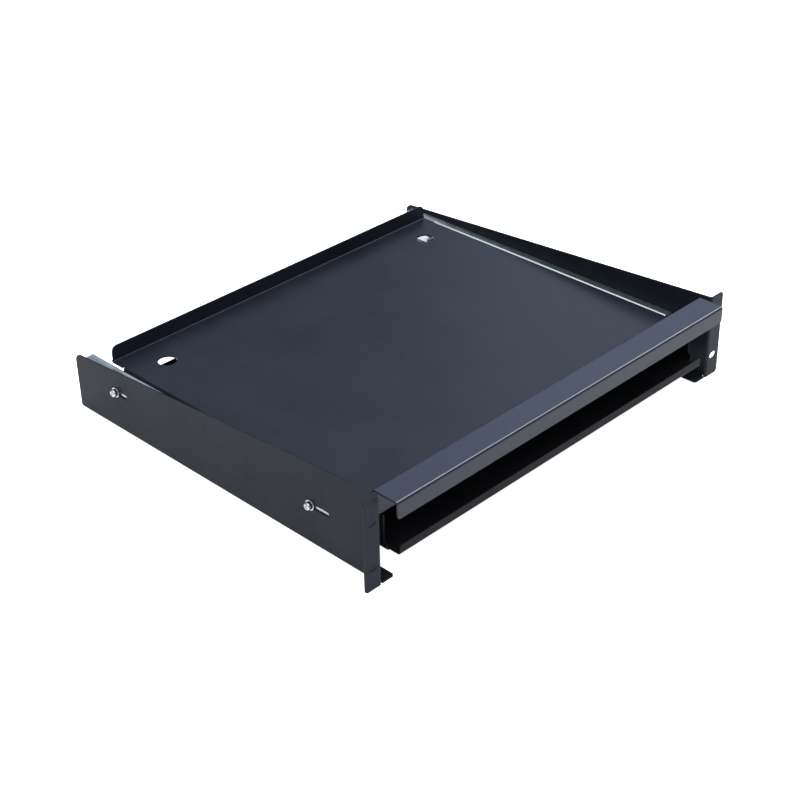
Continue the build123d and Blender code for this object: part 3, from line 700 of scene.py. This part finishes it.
def build_screws(node, heads_point, look, material):
    """The screws of one node, with the heads pointing along +X or -X."""
    solids = solids_of(node)
    low, high = solids[0]
    head_mesh = pan_head(look, look.head_share * (high.z - low.z) / 2)
    length = high.x - low.x - look.head_height
    mesh = bmesh.new()
    mesh.from_mesh(head_mesh)
    threaded_shank(mesh, look, length)
    blank = bpy.data.meshes.new(node + "_blank")
    mesh.to_mesh(blank)
    mesh.free()
    turn = Matrix.Rotation(math.pi, 4, "Z") if heads_point > 0 else Matrix.Identity(4)
    joined = bmesh.new()
    for number, (low, high) in enumerate(solids):
        crown_x = high.x if heads_point > 0 else low.x
        seat = Vector((crown_x - heads_point * look.head_height, (low.y + high.y) / 2,
                       (low.z + high.z) / 2))
        spin = Matrix.Rotation(FIRST_RECESS_TURN + RECESS_TURN_STEP * number, 4, "X")
        copy = blank.copy()
        copy.transform(Matrix.Translation(seat) @ spin @ turn)
        joined.from_mesh(copy)
        bpy.data.meshes.remove(copy)
    finish_copy(object_from(joined, node + "_turned"), node, material)
    bpy.data.meshes.remove(blank)
    bpy.data.meshes.remove(head_mesh)


def build_washers(node, look, material):
    """Flat washers with a stamped edge: rounded outside, square on the bracket."""
    mesh = bmesh.new()
    edge = look.washer_edge
    for low, high in solids_of(node):
        seat = Vector((high.x if low.x < 0 else low.x, (low.y + high.y) / 2, (low.z + high.z) / 2))
        outwards = -1 if low.x < 0 else 1
        thick = high.x - low.x
        radius = look.washer_share * (high.z - low.z) / 2
        bore = look.shank_radius + BORE_PLAY
        round_part = [(thick - edge + edge * math.sin(a), radius - edge + edge * math.cos(a))
                      for a in (math.radians(30 * i) for i in range(4))]
        profile = [(0, bore), (0, radius), *round_part, (thick, bore + edge / 2),
                   (thick - edge / 2, bore)]
        before = len(mesh.verts)
        lathe(mesh, [(outwards * x, r) for x, r in profile], look.segments, closed=True)
        mesh.verts.ensure_lookup_table()
        bmesh.ops.translate(mesh, verts=mesh.verts[before:], vec=seat)
    finish_copy(object_from(mesh, node + "_stamped"), node, material)


def build_spring_washers(node, look, material):
    """Split rings of square wire, pressed flat, with a slanted slit."""
    mesh = bmesh.new()
    for low, high in solids_of(node):
        middle = (low + high) / 2
        radius = (high.z - low.z) / 2
        bore = look.shank_radius + SPRING_BORE_PLAY
        half = (high.x - low.x) / 2
        edge = 0.4 * look.washer_edge
        section = ((half - edge, bore), (half, bore + edge), (half, radius - edge),
                   (half - edge, radius), (edge - half, radius), (-half, radius - edge),
                   (-half, bore + edge), (edge - half, bore))
        rings = []
        for step in range(look.segments + 1):
            share = step / look.segments
            ring = []
            for x, r in section:
                slant = look.slit_slant * x / (2 * half)
                first = SLIT_ANGLE + (look.slit / 2 + slant) / radius
                last = SLIT_ANGLE + 2 * math.pi - (look.slit / 2 - slant) / radius
                turn = first + share * (last - first)
                ring.append(mesh.verts.new((middle.x + x, middle.y + r * math.cos(turn),
                                            middle.z + r * math.sin(turn))))
            rings.append(ring)
        for first, second in zip(rings, rings[1:]):
            for i in range(len(section)):
                after = (i + 1) % len(section)
                mesh.faces.new((first[i], first[after], second[after], second[i]))
        mesh.faces.new(rings[0])
        mesh.faces.new(rings[-1])
    finish_copy(object_from(mesh, node + "_coiled"), node, material)


def build_balls(node, look, material):
    """Round balls at the centres of the frame's balls."""
    mesh = bmesh.new()
    for low, high in solids_of(node):
        spot = Matrix.Translation((low + high) / 2)
        bmesh.ops.create_icosphere(mesh, subdivisions=look.subdivisions,
                                   radius=(high.z - low.z) / 2, matrix=spot)
    finish_copy(object_from(mesh, node + "_ground"), node, material)


def paper_material(look):
    """Pale studio paper with a faint tooth."""
    made, tree, shader = new_material("Studio paper")
    tooth = place_group(tree, group("Surface grain"), {"Width": 1.2 * MM, "Cloud width": 1.5})
    shade = [0.985 * part for part in look.floor_colour]
    tree.links.new(mix_colours(tree, tooth["Clouds"], shade, tuple(look.floor_colour)),
                   shader.inputs["Base Color"])
    tree.links.new(stretch(tree, tooth["Spots"], 0.0, 1.0, 0.75, 0.85), shader.inputs["Roughness"])
    shader.inputs["Specular IOR Level"].default_value = 0.2
    seen = add_node(tree, "ShaderNodeLightPath").outputs["Is Camera Ray"]
    tree.links.new(mix_colours(tree, seen, [look.glow] * 3, [look.seen_glow] * 3),
                   shader.inputs["Emission Color"])
    shader.inputs["Emission Strength"].default_value = 1.0
    return made


def add_softbox(which, power):
    """One of the softboxes, turned to its target."""
    size, place, target = SOFTBOXES[which]
    name = which + "_softbox"
    light = bpy.data.lights.new(name, "AREA")
    light.shape = "RECTANGLE"
    light.size, light.size_y = size
    light.energy = power
    lamp = bpy.data.objects.new(name, light)
    lamp.location = place
    lamp.rotation_euler = (Vector(target) - Vector(place)).to_track_quat("-Z", "Y").to_euler()
    bpy.context.scene.collection.objects.link(lamp)
    return light


def add_floor(look):
    """A wide sheet of paper under the drawer."""
    mesh = bmesh.new()
    bmesh.ops.create_grid(mesh, x_segments=12, y_segments=12, size=look.floor_size / 2)
    floor = object_from(mesh, "floor")
    floor.location = (0, 0, cad_box[0][2] - look.floor_drop)
    floor.data.materials.append(paper_material(look))


def add_camera(look):
    """The camera at the photograph's view."""
    lens = bpy.data.cameras.new("camera")
    lens.sensor_width = SENSOR_WIDTH
    lens.lens = look.lens
    lens.shift_x, lens.shift_y = CAMERA_SHIFT
    lens.dof.use_dof = False
    camera = bpy.data.objects.new("camera", lens)
    camera.location = CAMERA_PLACE
    camera.rotation_euler = Euler([math.radians(angle) for angle in CAMERA_TURN])
    bpy.context.scene.collection.objects.link(camera)
    bpy.context.scene.camera = camera


def add_sky(look):
    """A room round the set, darker near the floor, that the camera sees as a white backdrop."""
    world = bpy.data.worlds.new("room")
    world.use_nodes = True
    tree = world.node_tree
    background = tree.nodes["Background"]
    direction = add_node(tree, "ShaderNodeSeparateXYZ",
                         {"Vector": add_node(tree, "ShaderNodeTexCoord").outputs["Generated"]})
    raised = stretch(tree, direction.outputs["Z"], HORIZON_TOP, SKY_START)
    room = mix_colours(tree, raised, tuple(look.horizon), tuple(look.sky))
    seen = add_node(tree, "ShaderNodeLightPath").outputs["Is Camera Ray"]
    tree.links.new(mix_colours(tree, seen, room, tuple(look.backdrop)),
                   background.inputs["Color"])
    background.inputs["Strength"].default_value = look.sky_strength
    bpy.context.scene.world = world


class DRAWER_OT_coat_sheets(bpy.types.Operator):
    """Powder coat the brackets, the tray and the pan, and round their cut edges"""
    bl_idname = "drawer.coat_sheets"
    bl_label = "Coat the sheet metal"

    def execute(self, context):
        look = context.scene.drawer_look.coat
        coat = coat_material("Powder coat", look, look.bracket_colour, look.edge_coat_and_highlight_share,
                             look.bracket_reflection, look.ior)
        hood_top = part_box("tray")[1].z
        finishes = {
            "tray": coat_material("Hood coat with painted sheen", look, look.colour, look.edge_coat_and_highlight_share,
                                  look.reflection, look.ior,
                                  sheen_top=hood_top - 0.1 * MM),
            "keyboard_pan": coat_material("Pan powder coat", look, look.pan_colour,
                                          look.pan_edge_coat_and_highlight_share, look.pan_reflection,
                                          look.pan_ior),
        }
        for node in SHEETS:
            dress(node, finishes.get(node, coat))
            round_edges(node, look.edge_radius)
        return {"FINISHED"}


class DRAWER_OT_plate_slides(bpy.types.Operator):
    """Zinc plate the six slide members"""
    bl_idname = "drawer.plate_slides"
    bl_label = "Plate the slides"

    def execute(self, context):
        look = context.scene.drawer_look.slides
        tint = [0.92 * look.zinc[0], look.zinc[1], 0.97 * look.zinc[2]]
        zinc = plate_material("Slide zinc", look.zinc, tint, ZINC_TINT_SHARE, look.roughness,
                              look)
        for side in SIDES:
            for member in MEMBERS:
                dress(f"{side}_{member}", zinc)
                round_edges(f"{side}_{member}", look.edge_radius)
        return {"FINISHED"}


class DRAWER_OT_finish_cages(bpy.types.Operator):
    """Give the four ball cages their oiled strip"""
    bl_idname = "drawer.finish_cages"
    bl_label = "Finish the ball cages"

    def execute(self, context):
        look = context.scene.drawer_look.slides
        strip = plate_material("Oiled strip", look.cage, look.oil, OIL_SHARE,
                               look.roughness + 0.08, look)
        for side in SIDES:
            for cage in CAGES:
                dress(f"{side}_{cage}", strip)
        return {"FINISHED"}


class DRAWER_OT_make_balls(bpy.types.Operator):
    """Put round, polished balls where the frame has its plain ones"""
    bl_idname = "drawer.make_balls"
    bl_label = "Make the balls"

    def execute(self, context):
        look = context.scene.drawer_look.balls
        steel = ball_material(look)
        for side in SIDES:
            for row in ("outer", "inner"):
                build_balls(f"{side}_{row}_balls", look, steel)
        return {"FINISHED"}


class DRAWER_OT_make_screws(bpy.types.Operator):
    """Turn the bracket screws and the drawer screws, with thread and cross recess"""
    bl_idname = "drawer.make_screws"
    bl_label = "Make the screws"

    def execute(self, context):
        look = context.scene.drawer_look.fasteners
        plate = fastener_material("Fastener plate", look.colour, look.edge_colour, look)
        # The spring washers' near-black colour is painted shade.
        spring = fastener_material("Spring washer shade", look.spring_shade_colour, look.spring_shade_edge, look)
        for side, outwards in zip(SIDES, (-1, 1)):
            build_screws(f"{side}_bracket_screws", outwards, look, plate)
            build_screws(f"{side}_drawer_screws", -outwards, look, plate)
            build_washers(f"{side}_bracket_washers", look, plate)
            build_spring_washers(f"{side}_spring_washers", look, spring)
        return {"FINISHED"}


class DRAWER_OT_finish_stops(bpy.types.Operator):
    """Give the rear stops of the slides their moulded plastic"""
    bl_idname = "drawer.finish_stops"
    bl_label = "Finish the rear stops"

    def execute(self, context):
        look = context.scene.drawer_look.plastic
        plastic = plastic_material(look)
        for side in SIDES:
            dress(f"{side}_slide_bumper", plastic)
            round_edges(f"{side}_slide_bumper", look.edge_radius)
        return {"FINISHED"}


class DRAWER_OT_set_stage(bpy.types.Operator):
    """Lay the floor, hang the softboxes and place the camera"""
    bl_idname = "drawer.set_stage"
    bl_label = "Set the stage"

    def execute(self, context):
        look = context.scene.drawer_look.stage
        add_floor(look)
        add_softbox("key", look.key_power)
        add_softbox("top", look.top_power)
        add_softbox("right", look.right_power)
        back = add_softbox("back", look.back_power)
        back.color = look.back_colour
        add_sky(look)
        add_camera(look)
        context.scene.view_settings.view_transform = "Standard"
        return {"FINISHED"}


OPERATORS = (DRAWER_OT_coat_sheets, DRAWER_OT_plate_slides, DRAWER_OT_finish_cages,
             DRAWER_OT_make_balls, DRAWER_OT_make_screws, DRAWER_OT_finish_stops,
             DRAWER_OT_set_stage)


class DRAWER_PT_steps(bpy.types.Panel):
    """The drawer's steps, in order"""
    bl_idname = "DRAWER_PT_steps"
    bl_label = "Keyboard drawer"
    bl_space_type = "VIEW_3D"
    bl_region_type = "UI"
    bl_category = "Keyboard drawer"

    def draw(self, context):
        look = context.scene.drawer_look
        for step in OPERATORS:
            self.layout.operator(step.bl_idname)
        for name in ("coat", "slides", "fasteners", "balls", "plastic", "stage"):
            box = self.layout.box()
            box.label(text=name.capitalize())
            part = getattr(look, name)
            for prop in part.__annotations__:
                box.prop(part, prop)


CLASSES = (DRAWER_CoatLook, DRAWER_SlideLook, DRAWER_FastenerLook, DRAWER_BallLook,
           DRAWER_PlasticLook, DRAWER_StageLook, DRAWER_Look, *OPERATORS, DRAWER_PT_steps)


def register():
    """Add the classes and the scene's look."""
    for made in CLASSES:
        bpy.utils.register_class(made)
    bpy.types.Scene.drawer_look = PointerProperty(type=DRAWER_Look)


def unregister():
    """Take them away again."""
    del bpy.types.Scene.drawer_look
    for made in reversed(CLASSES):
        bpy.utils.unregister_class(made)


def main():
    """Run every step in order."""
    register()
    bpy.ops.drawer.coat_sheets()
    bpy.ops.drawer.plate_slides()
    bpy.ops.drawer.finish_cages()
    bpy.ops.drawer.make_balls()
    bpy.ops.drawer.make_screws()
    bpy.ops.drawer.finish_stops()
    bpy.ops.drawer.set_stage()


if __name__ == "__main__":
    main()
